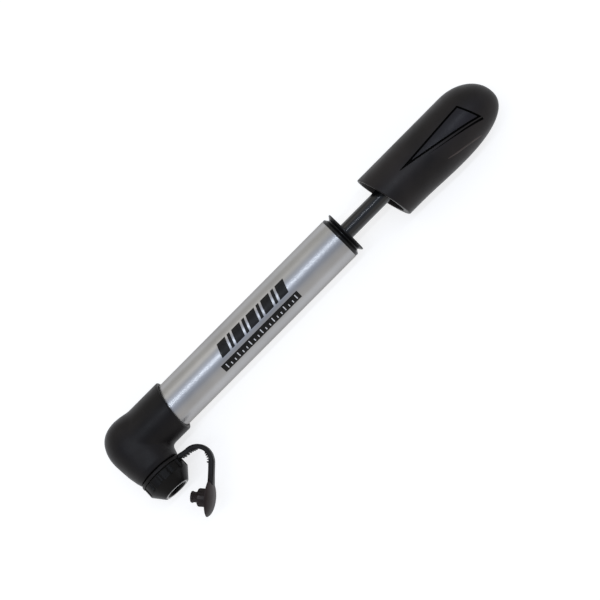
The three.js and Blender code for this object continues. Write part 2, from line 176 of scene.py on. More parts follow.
def edge_wear_and_highlight(tree, coordinates, colour, wear_and_highlight):
    """The colour, with a broken, paler band where the surface turns sharply outwards: partly wear, partly a
    painted highlight along the edges.
    """
    geometry = tree.nodes.new("ShaderNodeNewGeometry")
    edges = remap(tree, geometry.outputs["Pointiness"], 0.0, 1.0, 0.55, 0.64)
    rub = tree.nodes.new("ShaderNodeMath")
    rub.operation = "MULTIPLY"
    tree.links.new(edges, rub.inputs[0])
    tree.links.new(remap(tree, noise(tree, coordinates, 400.0, 4.0), 0.15, 1.0), rub.inputs[1])
    mix = tree.nodes.new("ShaderNodeMix")
    mix.data_type = "RGBA"
    mix.inputs["B"].default_value = (*wear_and_highlight, 1)
    tree.links.new(rub.outputs[0], mix.inputs["Factor"])
    tree.links.new(colour, mix.inputs["A"])
    return mix.outputs["Result"]


def moulded(name, dark, light, roughness, grain=900.0, specular=0.35, wear_and_highlight=None, seed=0.0):
    """Moulded plastic or rubber: fine grain and blotches, with paler edges, partly wear and partly painted
    highlight, when an edge colour is given.
    """
    material, tree, shader, coordinates = new_material(name)
    patches = remap(tree, noise(tree, coordinates, 70.0, 4.0, seed=seed), 0.0, 1.0)
    colour = ramp_colours(tree, patches, dark, light)
    if wear_and_highlight:
        colour = edge_wear_and_highlight(tree, coordinates, colour, wear_and_highlight)
    tree.links.new(colour, shader.inputs["Base Color"])
    cloud = noise(tree, coordinates, 160.0, 5.0, seed=seed + 1)
    tree.links.new(remap(tree, cloud, roughness - 0.05, roughness + 0.06), shader.inputs["Roughness"])
    shader.inputs["Specular IOR Level"].default_value = specular
    fine = noise(tree, coordinates, grain * 4, 2.0)
    coarse = noise(tree, coordinates, grain, 3.0, seed=seed + 2)
    bump(tree, shader, [(coarse, 0.25, 0.02), (fine, 0.35, 0.012)])
    return material


def satin_aluminium(name):
    """Satin tube: fine drawn lines along X, faint cloudy patches and a few hairline scuffs."""
    material, tree, shader, coordinates = new_material(name)
    clouds = remap(tree, noise(tree, coordinates, 45.0, 3.0), 0.0, 1.0)
    colour = ramp_colours(tree, clouds, (0.37, 0.37, 0.375), (0.43, 0.43, 0.435))
    tree.links.new(colour, shader.inputs["Base Color"])
    shader.inputs["Metallic"].default_value = 1.0
    lines = noise(tree, coordinates, 1.0, 3.0, stretch=(60, 5200, 5200))
    shader.inputs["Specular Tint"].default_value = (0.55, 0.53, 0.50, 1)
    gloss = remap(tree, lines, 0.30, 0.38)
    tree.links.new(gloss, shader.inputs["Roughness"])
    scuffs = noise(tree, coordinates, 1.0, 2.0, stretch=(160, 1500, 1500), seed=3.1)
    bump(tree, shader, [(lines, 0.10, 0.004), (scuffs, 0.06, 0.006)])
    return material


def gloss_black(name):
    """Polished black coating with the faintest ripple and fine rub marks along its length."""
    material, tree, shader, coordinates = new_material(name)
    tint = remap(tree, noise(tree, coordinates, 80.0, 3.0), 0.0, 1.0)
    colour = ramp_colours(tree, tint, (0.003, 0.003, 0.004), (0.008, 0.008, 0.007))
    tree.links.new(colour, shader.inputs["Base Color"])
    rub = noise(tree, coordinates, 1.0, 3.0, stretch=(50, 3500, 3500))
    tree.links.new(remap(tree, rub, 0.17, 0.21), shader.inputs["Roughness"])
    shader.inputs["Specular IOR Level"].default_value = 0.5
    bump(tree, shader, [(rub, 0.02, 0.001)])
    return material


def bright_steel(name):
    """Polished steel with a light haze of fine scratches."""
    material, tree, shader, coordinates = new_material(name)
    tint = remap(tree, noise(tree, coordinates, 300.0, 4.0), 0.0, 1.0)
    colour = ramp_colours(tree, tint, (0.50, 0.50, 0.51), (0.66, 0.66, 0.67))
    tree.links.new(colour, shader.inputs["Base Color"])
    shader.inputs["Metallic"].default_value = 1.0
    gloss = remap(tree, noise(tree, coordinates, 900.0, 3.0), 0.16, 0.30)
    tree.links.new(gloss, shader.inputs["Roughness"])
    bump(tree, shader, [(noise(tree, coordinates, 2600.0, 2.0), 0.1, 0.005)])
    return material


def ink(name, dark, light):
    """Screen-printed ink: flat, and slightly uneven in its colour and gloss."""
    material, tree, shader, coordinates = new_material(name)
    patches = remap(tree, noise(tree, coordinates, 900.0, 4.0), 0.0, 1.0)
    tree.links.new(ramp_colours(tree, patches, dark, light), shader.inputs["Base Color"])
    gloss = remap(tree, noise(tree, coordinates, 2500.0, 3.0), 0.30, 0.5)
    tree.links.new(gloss, shader.inputs["Roughness"])
    shader.inputs["Specular IOR Level"].default_value = 0.2
    bump(tree, shader, [(noise(tree, coordinates, 4000.0, 2.0), 0.2, 0.004)])
    return material


# The pale edge colours given below are partly wear and partly painted highlight on the edges.
M = {
    "barrel": satin_aluminium("satin_aluminium"),
    "head": moulded("head_plastic", (0.0036, 0.0030, 0.0034), (0.0096, 0.0080, 0.0082), 0.42,
                    specular=0.17, wear_and_highlight=(0.05, 0.045, 0.043)),
    "nozzle": moulded("nozzle_plastic", (0.0022, 0.0020, 0.0020), (0.0056, 0.0050, 0.0048), 0.32,
                      specular=0.12, wear_and_highlight=(0.09, 0.083, 0.08), seed=2.0),
    # pale grey ring material: a painted highlight standing for the lit rim of the nozzle's mouth
    "bead": moulded("painted_highlight_ring", (0.46, 0.45, 0.44), (0.58, 0.57, 0.56), 0.25, seed=3.0),
    "tether": moulded("tether_rubber", (0.0036, 0.0030, 0.0030), (0.0100, 0.0082, 0.0080), 0.44,
                      grain=1400.0, specular=0.17, wear_and_highlight=(0.10, 0.09, 0.087), seed=4.0),
    "cap": moulded("cap_rubber", (0.0072, 0.0044, 0.0043), (0.0200, 0.0118, 0.0110), 0.46,
                   grain=1400.0, specular=0.20, wear_and_highlight=(0.08, 0.072, 0.070), seed=5.0),
    "gland": moulded("gland_rubber", (0.003, 0.003, 0.003), (0.006, 0.006, 0.006), 0.7,
                     specular=0.1, seed=6.0),
    "collar": moulded("collar_plastic", (0.0026, 0.0026, 0.0028), (0.0066, 0.0064, 0.0066), 0.28,
                      specular=0.20, seed=7.0),
    "rod": gloss_black("gloss_black"),
    "grip": moulded("grip_rubber", (0.0060, 0.0050, 0.0052), (0.0150, 0.0122, 0.0120), 0.42,
                    grain=1100.0, specular=0.20, wear_and_highlight=(0.085, 0.075, 0.070), seed=8.0),
    "inlay": moulded("inlay_rubber", (0.0060, 0.0054, 0.0070), (0.0130, 0.0116, 0.0146), 0.38,
                     grain=1600.0, specular=0.20, seed=9.0),
    # near-black matt material for the groove walls and floors: painted shade in the recesses
    "groove": moulded("groove_painted_shade", (0.0010, 0.0009, 0.0009), (0.0028, 0.0025, 0.0024), 0.75,
                      specular=0.04, seed=12.0),
    # paler material for the handle's crease lines: a painted highlight
    "crease_highlight": moulded("painted_crease_highlight", (0.030, 0.024, 0.022), (0.060, 0.046, 0.042), 0.42,
                      specular=0.20, seed=11.0),
    "nylon": moulded("natural_nylon", (0.66, 0.65, 0.60), (0.76, 0.75, 0.70), 0.4, seed=10.0),
    "steel": bright_steel("bright_steel"),
    "ink": ink("black_ink", (0.003, 0.003, 0.003), (0.008, 0.008, 0.008)),
    "pale_ink": ink("pale_ink", (0.55, 0.55, 0.56), (0.68, 0.68, 0.69)),
}

# ---------------------------------------- mesh helpers


def build(name, vertices, faces, material, sharp=38.0):
    """A mesh object from working points in mm, smooth except across sharp edges."""
    mesh = bpy.data.meshes.new(name)
    places = np.asarray(vertices, float) * MM + np.array(ORIGIN)
    mesh.from_pydata(places.tolist(), [], [tuple(int(i) for i in f) for f in faces])
    mesh.validate()
    mesh.shade_smooth()
    mesh.set_sharp_from_angle(angle=math.radians(sharp))
    mesh.materials.append(material)
    piece = bpy.data.objects.new(name, mesh)
    bpy.context.scene.collection.objects.link(piece)
    return piece


def rings_to_mesh(rings, looped=False):
    """Vertices and faces through rings of equal length. A ring of one point is a pole."""
    vertices = []
    starts = []
    for ring in rings:
        starts.append(len(vertices))
        vertices.extend(ring)
    faces = []
    pairs = list(zip(range(len(rings) - 1), range(1, len(rings))))
    if looped:
        pairs.append((len(rings) - 1, 0))
    for a, b in pairs:
        na, nb = len(rings[a]), len(rings[b])
        count = max(na, nb)
        for i in range(count):
            j = (i + 1) % count
            if na == 1:
                faces.append((starts[a], starts[b] + j, starts[b] + i))
            elif nb == 1:
                faces.append((starts[a] + i, starts[a] + j, starts[b]))
            else:
                faces.append((starts[a] + i, starts[a] + j, starts[b] + j, starts[b] + i))
    return np.array(vertices, float), faces


def closed_ends(rings):
    """The rings with a pole in the middle of the first and of the last, to close both ends."""
    return [[tuple(np.mean(rings[0], axis=0))]] + rings + [[tuple(np.mean(rings[-1], axis=0))]]


def rounded(corners, radius, steps=4, closed=True):
    """The outline with each corner turned into a small arc; an open outline keeps its two ends."""
    points = [np.array(c[:2], float) for c in corners]
    count = len(points)
    result = []
    for i, point in enumerate(points):
        if not closed and i in (0, count - 1):
            result.append(point)
            continue
        before, after = points[i - 1], points[(i + 1) % count]
        u, v = before - point, after - point
        lu, lv = np.linalg.norm(u), np.linalg.norm(v)
        u, v = u / lu, v / lv
        half = math.acos(float(np.clip(u @ v, -1, 1))) / 2
        if half > math.radians(86):
            result.append(point)
            continue
        r = radius
        if len(corners[i]) > 2:
            r = corners[i][2]
        reach = min(r / math.tan(half), 0.45 * lu, 0.45 * lv)
        start, end = point + u * reach, point + v * reach
        for s in range(steps + 1):
            t = s / steps
            result.append(start * (1 - t) ** 2 + 2 * point * t * (1 - t) + end * t * t)
    return [tuple(p[:2]) for p in result]


def place_turned(radius, height, angle, axis, centre):
    """A point at a radius and height round an axis 'x' or 'y' through centre."""
    c, s = math.cos(angle), math.sin(angle)
    if axis == "x":
        return (centre[0] + height, centre[1] + radius * c, centre[2] + radius * s)
    return (centre[0] + radius * s, centre[1] + height, centre[2] + radius * c)


def plate_mesh(rows, columns, corner):
    """A closed plate of two grids joined round their rim; corner(layer, i, j) gives each place."""
    vertices, index = [], {}
    for k in (0, 1):
        for i in range(rows + 1):
            for j in range(columns + 1):
                index[k, i, j] = len(vertices)
                vertices.append(corner(k, i, j))
    faces = []
    for k in (0, 1):
        for i in range(rows):
            for j in range(columns):
                quad = (index[k, i, j], index[k, i + 1, j], index[k, i + 1, j + 1], index[k, i, j + 1])
                faces.append(quad if k == 0 else quad[::-1])
    rim = [(i, 0) for i in range(rows)] + [(rows, j) for j in range(columns)]
    rim += [(i, columns) for i in range(rows, 0, -1)] + [(0, j) for j in range(columns, 0, -1)]
    for (i, j), (m, n) in zip(rim, rim[1:] + rim[:1]):
        faces.append((index[0, i, j], index[1, i, j], index[1, m, n], index[0, m, n]))
    return vertices, faces


def turned(name, corners, axis, material, segments=128, centre=(0, 0, 0), shape=None, sharp=38.0):
    """A piece turned about an axis from its outline of (radius, height) points. shape may change a
    radius by angle and height, for flutes and ribs."""
    closed = corners[0][0] > 1e-9
    rings = []
    for radius, height in corners:
        if radius < 1e-9:
            rings.append([place_turned(0, height, 0, axis, centre)])
            continue
        ring = []
        for i in range(segments):
            angle = 2 * math.pi * i / segments
            r = shape(radius, height, angle) if shape else radius
            ring.append(place_turned(r, height, angle, axis, centre))
        rings.append(ring)
    vertices, faces = rings_to_mesh(rings, looped=closed)
    return outward(build(name, vertices, faces, material, sharp))


def outward(piece):
    """Faces pointing out, whichever way the outline ran."""
    mesh = piece.data
    count = len(mesh.vertices)
    co = np.empty(count * 3)
    mesh.vertices.foreach_get("co", co)
    co = co.reshape(-1, 3)
    mesh.calc_loop_triangles()
    tri = np.empty(len(mesh.loop_triangles) * 3, int)
    mesh.loop_triangles.foreach_get("vertices", tri)
    a, b, c = (co[tri.reshape(-1, 3)[:, k]] for k in range(3))
    if np.einsum("ij,ij->", a, np.cross(b, c)) < 0:
        mesh.flip_normals()
    return piece


def smoothstep(x, low, high):
    t = np.clip((np.asarray(x, float) - low) / (high - low), 0, 1)
    return t * t * (3 - 2 * t)


def finish_piece(piece, body, slot, *nodes):
    """Ties a piece to its body and hides the CAD nodes that it replaces; slot is not used."""
    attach(piece, body)
    if nodes:
        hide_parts(*nodes)
    return piece


# ---------------------------------------- barrel, collar and rod

BARREL_START, BARREL_END = span("barrel", 0)
BARREL_RADIUS = span("barrel", 2)[1]
BARREL_BORE = 10.0


def add_barrel():
    outline = rounded([(BARREL_BORE, BARREL_START), (BARREL_RADIUS, BARREL_START),
                       (BARREL_RADIUS, BARREL_END), (BARREL_BORE, BARREL_END)], 0.25)
    tube = turned("barrel_tube", outline, "x", M["barrel"], 192)
    finish_piece(tube, "barrel_and_head", "barrel_aluminium", "barrel")


COLLAR = {
    "flange": 10.95, "v_groove": 9.3, "spigot": 9.7, "bore": 6.6, "seat": 6.4,
    "throat": 4.6, "throat_x": 130.8,
}


def add_collar():
    """Snap-in collar: a spigot in the tube, and a flange with a V groove and a flat front."""
    c = COLLAR
    start, end = span("barrel_collar", 0)
    back = BARREL_END + 0.05
    seat_x = end - 2.9
    groove_x = end - 2.2
    flange, groove = c["flange"], c["v_groove"]
    spigot = [(c["bore"], start), (c["spigot"], start), (c["spigot"], back, 0.02)]
    front = [(flange, back, 0.15), (flange, groove_x - 1.25, 0.12), (groove, groove_x - 0.15, 0.2)]
    front += [(groove, groove_x + 0.25, 0.2), (flange, groove_x + 1.45, 0.12), (flange, end, 0.2)]
    inside = [(c["seat"], end, 0.3), (c["seat"], seat_x), (c["throat"], seat_x), (c["throat"], c["throat_x"]),
              (c["bore"], c["throat_x"])]
    collar = turned("snap_collar", rounded(spigot + front + inside, 0.2), "x", M["collar"], 160)
    finish_piece(collar, "barrel_and_head", "collar_plastic", "barrel_collar")


def add_wiper():
    """Lip seal in the collar's mouth, with a soft lip that leans on the rod."""
    start, end = span("rod_wiper", 0)
    body = [(4.3, start), (6.25, start), (6.25, end), (5.1, end)]
    lip = [(4.75, end - 0.7), (4.08, end + 0.1), (4.08, end - 0.5), (4.5, end - 1.4)]
    wiper = turned("wiper_lip", rounded(body + lip, 0.12), "x", M["gland"], 96)
    finish_piece(wiper, "barrel_and_head", "gland_rubber", "rod_wiper")


def add_rod():
    start, end = span("piston_rod", 0)
    outline = rounded([(2.8, start), (4.0, start), (4.0, end), (2.8, end)], 0.2)
    rod = turned("rod_tube", outline, "x", M["rod"], 128)
    finish_piece(rod, "rod_and_handle", "rod_black", "piston_rod")


# ---------------------------------------- head

# column is a half outline of (radius, y): a dome, the waist, and the spigot below it.
HEAD = {
    "sleeve": 12.8,
    "mouth_top": 27.2,
    "mouth_bottom": 23.4,
    "column": [(0.0, 13.7), (4.2, 13.45), (7.2, 12.35), (9.6, 10.7), (11.6, 8.1), (12.85, 4.6), (13.3, 0.0),
               (11.7, -14.7), (11.05, -16.8), (10.6, -17.2), (9.2, -17.2), (9.2, -24.2), (0.0, -24.2)],
    "chamber": 7.9,
    "chamber_top": -12.6,
    "bore": 11.12,
    "bore_start": 5.0,
    "fillet": 2.3,
    "edge": 0.35,
    "heel": 0.045,
}


def outline_distance(points, outline):
    """Signed distance of (n, 2) points to a closed outline, negative inside."""
    corners = np.array(outline, float)
    best = np.full(len(points), 1e9)
    inside = np.zeros(len(points), bool)
    for a, b in zip(corners, np.roll(corners, -1, axis=0)):
        edge = b - a
        rel = points - a
        t = np.clip(rel @ edge / max(edge @ edge, 1e-12), 0, 1)
        away = rel - t[:, None] * edge
        best = np.minimum(best, np.einsum("ij,ij->i", away, away))
        crosses = (a[1] > points[:, 1]) != (b[1] > points[:, 1])
        if abs(edge[1]) > 1e-12:
            x_at = a[0] + (points[:, 1] - a[1]) / edge[1] * edge[0]
            inside ^= crosses & (points[:, 0] < x_at)
    return np.where(inside, -1, 1) * np.sqrt(best)


def soft_min(a, b, k):
    """The smaller of two distances, blended over a width k, which makes a fillet."""
    h = np.clip(0.5 + 0.5 * (b - a) / k, 0, 1)
    return b * (1 - h) + a * h - k * h * (1 - h)


def soft_max(a, b, k):
    return -soft_min(-a, -b, k)


def smooth_profile(points, rounds=2):
    """An open outline with its corners softened by cutting them (Chaikin)."""
    outline = [np.array(p, float) for p in points]
    for _ in range(rounds):
        cut = [outline[0]]
        for a, b in zip(outline[:-1], outline[1:]):
            cut.extend([a * 0.75 + b * 0.25, a * 0.25 + b * 0.75])
        cut.append(outline[-1])
        outline = cut
    return outline


def head_field(p):
    """Distance to the head's skin: domed column, slanted sleeve, and the hollows inside."""
    h = HEAD
    dome = smooth_profile(h["column"][:8], 2)
    outline = [tuple(q) for q in dome] + h["column"][8:]
    mirrored = [(-x, y) for x, y in reversed(outline) if x > 0]
    swell = 1 + h["heel"] * smoothstep(p[:, 1], -16, -9) * (1 - smoothstep(p[:, 1], -2, 9))
    outer = np.hypot(np.where(p[:, 0] < 0, p[:, 0] / swell, p[:, 0]), p[:, 2])
    radial = np.hypot(p[:, 0], p[:, 2])
    column = outline_distance(np.column_stack([outer, p[:, 1]]), outline + mirrored)
    around = np.hypot(p[:, 1], p[:, 2])
    slope = (h["mouth_top"] - h["mouth_bottom"]) / (2 * h["sleeve"])
    mid = (h["mouth_top"] + h["mouth_bottom"]) / 2
    mouth = (p[:, 0] - mid - slope * p[:, 1]) / math.hypot(1, slope)
    sleeve = soft_max(around - h["sleeve"], mouth, 0.7)
    sleeve = np.maximum(sleeve, -p[:, 0])
    fillet = h["edge"] + (h["fillet"] - h["edge"]) * (1 - smoothstep(p[:, 1], -12.6, -8.0))
    skin = soft_min(column, sleeve, fillet + 1.2 * smoothstep(p[:, 1], 3, 9))
    bore = np.maximum(around - h["bore"], h["bore_start"] - p[:, 0])
    chamber = np.maximum(radial - h["chamber"], p[:, 1] - h["chamber_top"])
    skin = soft_max(skin, -bore, h["edge"])
    return soft_max(skin, -chamber, h["edge"])


def pull_to_surface(field, places, reach):
    """One Newton step of each place towards the field's zero surface, no further than reach."""
    nudge = 0.02
    rises = [field(places + k * nudge) - field(places - k * nudge) for k in np.eye(3)]
    slope = np.stack(rises, -1) / (2 * nudge)
    steepness = np.maximum(np.einsum("ij,ij->i", slope, slope), 0.25)
    return places - slope * np.clip(field(places) / steepness, -reach, reach)[:, None]


def surface_net(field, low, high, step):
    """A closed quad mesh on the zero surface of a distance field, by naive surface nets."""
    axes = [np.arange(low[k], high[k] + step, step) for k in range(3)]
    shape = tuple(len(a) for a in axes)
    grid = np.stack(np.meshgrid(*axes, indexing="ij"), -1).reshape(-1, 3)
    value = field(grid).reshape(shape)
    inside = value < 0
    cells = tuple(s - 1 for s in shape)
    corner = [(i, j, k) for i in (0, 1) for j in (0, 1) for k in (0, 1)]
    part = lambda a, c: a[c[0]:c[0] + cells[0], c[1]:c[1] + cells[1], c[2]:c[2] + cells[2]]
    total = sum(part(inside, c).astype(int) for c in corner)
    mixed = (total > 0) & (total < 8)
    number = np.full(cells, -1)
    number[mixed] = np.arange(mixed.sum())
    places = np.zeros((mixed.sum(), 3))
    weight = np.zeros(mixed.sum())
    for a in corner:
        for k in range(3):
            if a[k]:
                continue
            b = tuple(c + (1 if n == k else 0) for n, c in enumerate(a))
            va, vb = part(value, a)[mixed], part(value, b)[mixed]
            crossed = (va < 0) != (vb < 0)
            t = np.where(crossed, va / np.where(crossed, va - vb, 1), 0)
            point = np.array(a, float)[None, :] + t[:, None] * (np.array(b) - np.array(a))[None, :]
            places += np.where(crossed[:, None], point, 0)
            weight += crossed
    cell_index = np.argwhere(mixed)
    places = (cell_index + places / weight[:, None]) * step + np.array([a[0] for a in axes])
    faces = []
    for k in range(3):
        i, j = [n for n in range(3) if n != k]
        first = [slice(None)] * 3
        second = [slice(None)] * 3
        first[k], second[k] = slice(0, -1), slice(1, None)
        change = inside[tuple(first)] != inside[tuple(second)]
        for edge in np.argwhere(change):
            if edge[i] == 0 or edge[j] == 0 or edge[i] >= cells[i] or edge[j] >= cells[j]:
                continue
            around = []
            for di, dj in ((0, 0), (1, 0), (1, 1), (0, 1)):
                cell = edge.copy()
                cell[i] -= di
                cell[j] -= dj
                around.append(number[tuple(cell)])
            flip = inside[tuple(edge)] == (k != 1)
            faces.append(around if flip else around[::-1])
    for _ in range(3):
        places = pull_to_surface(field, places, 0.3 * step)
    return places, faces


def add_head():
    """The elbow moulding, meshed from its distance field inside a box a little larger than it."""
    low, high, step = (-14.3, -25.0, -14.3), (28.6, 14.6, 14.3), 0.45
    vertices, faces = surface_net(head_field, low, high, step)
    head = outward(build("head_moulding", vertices, faces, M["head"], 50.0))
    finish_piece(head, "barrel_and_head", "head_plastic", "pump_head")


# ---------------------------------------- nozzle

NOZZLE = {
    "rim": 11.1, "top": -19.55, "shoulder": -23.9, "face": -29.1, "face_radius": 6.9, "mouth": 4.6,
    "lead_in": 5.5, "bore": 9.5, "flutes": 12,
}


def flute(radius, height, angle):
    """Grip flutes: upright round-ended scoops in the rim, that run out at the shoulder."""
    n = NOZZLE
    if radius < 9.8 or height < n["shoulder"] - 1.0:
        return radius
    scoop, centre = 1.35, n["rim"] + 0.75
    drop = min(0.0, height - (n["shoulder"] + 0.55))
    if abs(drop) >= scoop:
        return radius
    here = math.sqrt(scoop * scoop - drop * drop)
    pitch = 2 * math.pi / n["flutes"]
    offset = (angle + pitch / 2) % pitch - pitch / 2
    aside = centre * math.sin(offset)
    if abs(aside) >= here:
        return radius
    return min(radius, centre * math.cos(offset) - math.sqrt(here * here - aside * aside))


def add_nozzle():
    """Screw cap: a fluted rim, a cone down to a flat face, and a mouth with a lead-in."""
    n = NOZZLE
    rim, top, shoulder, face = n["rim"], n["top"], n["shoulder"], n["face"]
    side = [(rim, y) for y in np.linspace(top - 0.4, shoulder + 0.1, 26)]
    cone = [(rim - 0.05, shoulder - 0.05)]
    for t in np.linspace(0.06, 0.94, 14):
        cone.append((rim + (n["face_radius"] - rim) * t, shoulder + (face - shoulder) * t))
    mouth = [(n["face_radius"], face, 0.35), (n["lead_in"], face, 0.1), (n["mouth"], face + 1.0, 0.3),
             (n["mouth"], face + 1.4)]
    inside = [(7.2, -27.6), (n["bore"], -24.6), (n["bore"], top, 0.2), (rim - 0.05, top, 0.35)]
    lip = rounded([cone[-1]] + mouth + inside + [side[0]], 0.15, 4, closed=False)
    cap = turned("nozzle_shell", side + cone + lip[1:-1], "y", M["nozzle"], 360, shape=flute, sharp=32.0)
    finish_piece(cap, "nozzle", "cap_plastic", "nozzle_cap")


def add_mouth_bead():
    """A thin raised ring on the nozzle's face round its mouth, coloured pale grey as a painted highlight on
    the mouth's rim.
    """
    inner, outer = NOZZLE["lead_in"] - 0.02, NOZZLE["lead_in"] + 0.55
    near, far = NOZZLE["face"] - 0.08, NOZZLE["face"] + 0.35
    outline = rounded([(inner, near), (outer, near), (outer, far), (inner, far)], 0.18)
    bead = turned("mouth_bead", outline, "y", M["bead"], 128)
    finish_piece(bead, "nozzle", "cap_plastic")


def add_gland():
    """Rubber gland with a lead-in lip round the valve hole."""
    low, high = span("valve_gland", 1)
    hole, outer = 3.9, 7.6
    outline = [(hole, high), (outer, high), (outer, low + 2.1), (6.3, low), (4.5, low, 0.2)]
    outline.append((hole, low + 0.8, 0.3))
    gland = turned("gland_rubber_ring", rounded(outline, 0.3), "y", M["gland"], 96)
    finish_piece(gland, "gland", "gland_rubber", "valve_gland")


# ---------------------------------------- tether

RING_Y = span("tether_ring", 1)
STRAP = {
    "start": 10.4, "root_y": -18.95, "arc_x": 15.7, "arc_y": -26.45, "arc": 6.75, "thick": 2.3, "width": 4.0,
    "tooth": 0.8, "tooth_pitch": 1.4,
}
CAP = {
    "x": 7.4, "y": -41.6, "facing": 131.8, "radius": 8.7, "edge": -0.95, "dome": 2.7,
    "step": 4.05, "end": 7.45, "wide": 4.25,
}


def add_tether_ring():
    low, high = RING_Y
    outline = rounded([(9.5, low), (11.3, low), (11.3, high), (9.5, high)], 0.35)
    ring = turned("tether_loop", outline, "y", M["tether"], 160)
    finish_piece(ring, "tether", "tether_rubber", "tether_ring")


def strap_route():
    """Points along the strap's middle line, each with the share of its teeth's full height."""
    s = STRAP
    facing = math.radians(CAP["facing"] - 90)
    out = np.array([math.cos(facing), math.sin(facing)])
    behind = np.array([out[1], -out[0]])
    end = np.array([CAP["x"], CAP["y"]]) + out * (CAP["radius"] - 2.8) + behind * 1.5
    points = []
    for t in np.linspace(0, 1, 24)[:-1]:
        x = s["start"] + (s["arc_x"] - s["start"]) * t
        y = s["root_y"] + (s["arc_y"] + s["arc"] - s["root_y"]) * float(smoothstep(t, 0, 1))
        points.append((x, y, float(smoothstep(t, 0.25, 0.4))))
    for a in np.linspace(90, -45, 150):
        angle = math.radians(a)
        tooth = float(max(smoothstep(a, 44, 54), 1 - smoothstep(a, -4, 6)))
        x = s["arc_x"] + s["arc"] * math.cos(angle)
        y = s["arc_y"] + s["arc"] * math.sin(angle)
        points.append((x, y, tooth))
    last = np.array(points[-1][:2])
    for t in np.linspace(0, 1, 26)[1:]:
        points.append((*(last + (end - last) * t), float(1 - smoothstep(t, 0.04, 0.16))))
    return np.array(points)


def strap_ring(place, across, half_thick, half_wide, tooth):
    """One section of the strap: a bar with rounded edges, pushed out on its inner side by tooth."""
    ring = []
    for a in np.linspace(0, 2 * math.pi, 28, endpoint=False):
        ca, sa = math.cos(a), math.sin(a)
        out = math.copysign(abs(ca) ** 0.42, ca) * half_thick
        side = math.copysign(abs(sa) ** 0.42, sa) * half_wide
        offset = across * (out + max(0.0, out / half_thick) * tooth)
        ring.append((place[0] + offset[0], place[1] + offset[1], side))
    return ring


def add_strap():
    """Moulded strap: a flat bar with small square teeth inside its bend, wider at both its roots."""
    s = STRAP
    route = strap_route()
    place = route[:, :2]
    along = np.gradient(place, axis=0)
    along /= np.linalg.norm(along, axis=1)[:, None]
    across = np.column_stack([along[:, 1], -along[:, 0]])
    run = np.concatenate([[0], np.cumsum(np.linalg.norm(np.diff(place, axis=0), axis=1))])
    end = run[-1]
    rings = []
    for i, here in enumerate(run):
        phase = (here / s["tooth_pitch"]) % 1.0
        square = float(smoothstep(phase, 0.08, 0.18) * (1 - smoothstep(phase, 0.52, 0.62)))
        root = 0.25 * float(1 - smoothstep(here, 0.0, 4.5)) + 0.35 * float(smoothstep(here, end - 6, end))
        stem = 0.18 * float(smoothstep(here, end - 13, end - 10))
        half_thick = s["thick"] / 2 * (1 + stem)
        half_wide = s["width"] / 2 * (1 + root)
        tooth = s["tooth"] * square * route[i, 2]
        rings.append(strap_ring(place[i], across[i], half_thick, half_wide, tooth))
    vertices, faces = rings_to_mesh(closed_ends(rings))
    strap = outward(build("tether_band", vertices, faces, M["tether"], 50.0))
    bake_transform(strap)
    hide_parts("tether_strap")


def ribbed(radius, height, angle):
    """Fine upright ribs round the plug's two steps."""
    if height < CAP["edge"] + 0.6 or radius < 1.0:
        return radius
    count = 22 if height < CAP["step"] else 16
    wave = max(0.0, math.cos(count * angle)) ** 0.5
    return radius * (0.95 + 0.05 * wave)


def add_dust_cap():
    """Domed disc with a stepped, ribbed plug, turned and then faced towards the nozzle."""
    c = CAP
    dome = []
    for t in np.linspace(0, 1, 18):
        angle = math.pi / 2 * t
        lens = (c["radius"] - 0.25) * math.sin(angle) ** 0.9
        dome.append((lens if t else 0.0, c["edge"] - c["dome"] * math.cos(angle) ** 1.25))
    face, step, end = c["edge"] + 0.3, c["step"], c["end"]
    disc = [dome[-1], (c["radius"], face - 0.12, 0.15), (7.4, face, 0.5), (c["wide"] + 0.35, face, 0.25)]
    wide = [(c["wide"], face + 0.3, 0.2), (c["wide"], step - 0.5, 0.25), (3.9, step, 0.2)]
    narrow = [(2.5, step, 0.2), (2.4, step + 1.8, 0.3), (2.75, step + 2.4, 0.25)]
    narrow += [(2.6, end - 0.1, 0.3), (2.1, end, 0.2)]
    rest = disc + wide + narrow + [(0.0, end)]
    outline = dome[:-1] + rounded(rest, 0.2, 4, closed=False)
    cap = turned("dust_cover", outline, "y", M["cap"], 176, shape=ribbed, sharp=40.0)
    turn = Matrix.Rotation(math.radians(c["facing"] - 90), 4, "Z")
    place = row(c["x"], c["y"], 0)
    cap.data.transform(Matrix.Translation(place) @ turn @ Matrix.Translation(-ORIGIN))
    finish_piece(cap, "cap", "tether_rubber", "dust_cap")


# ---------------------------------------- handle

HANDLE = {
    "mouth_top": 157.9, "mouth_bottom": 164.3, "tip": 230.0, "tip_y": -2.0, "top": 13.0,
    "top_nose": 211.0, "bottom": -15.0, "belly": -15.8, "belly_start": 172.0, "bottom_nose": 197.0,
    "side": 13.2, "side_nose": 205.0, "top_round": 2.0, "bottom_round": 2.45, "socket": 11.6,
    "socket_end": 191.9, "lip": 0.55,
}


def superellipse(share, power):
    return max(0.0, 1 - share ** power) ** (1 / power)


def handle_section(x):
    """Middle height, half height and half width of the handle at x."""
    h = HANDLE
    into = lambda start: min(max((x - start) / (h["tip"] - start), 0.0), 1.0)
    swell = float(smoothstep(x, h["belly_start"], h["bottom_nose"]))
    low = h["bottom"] + (h["belly"] - h["bottom"]) * swell
    top = h["tip_y"] + (h["top"] - h["tip_y"]) * superellipse(into(h["top_nose"]), h["top_round"])
    bottom = h["tip_y"] + (low - h["tip_y"]) * superellipse(into(h["bottom_nose"]), h["bottom_round"])
    side = h["side"] * superellipse(into(h["side_nose"]), h["top_round"])
    return (top + bottom) / 2, (top - bottom) / 2, side


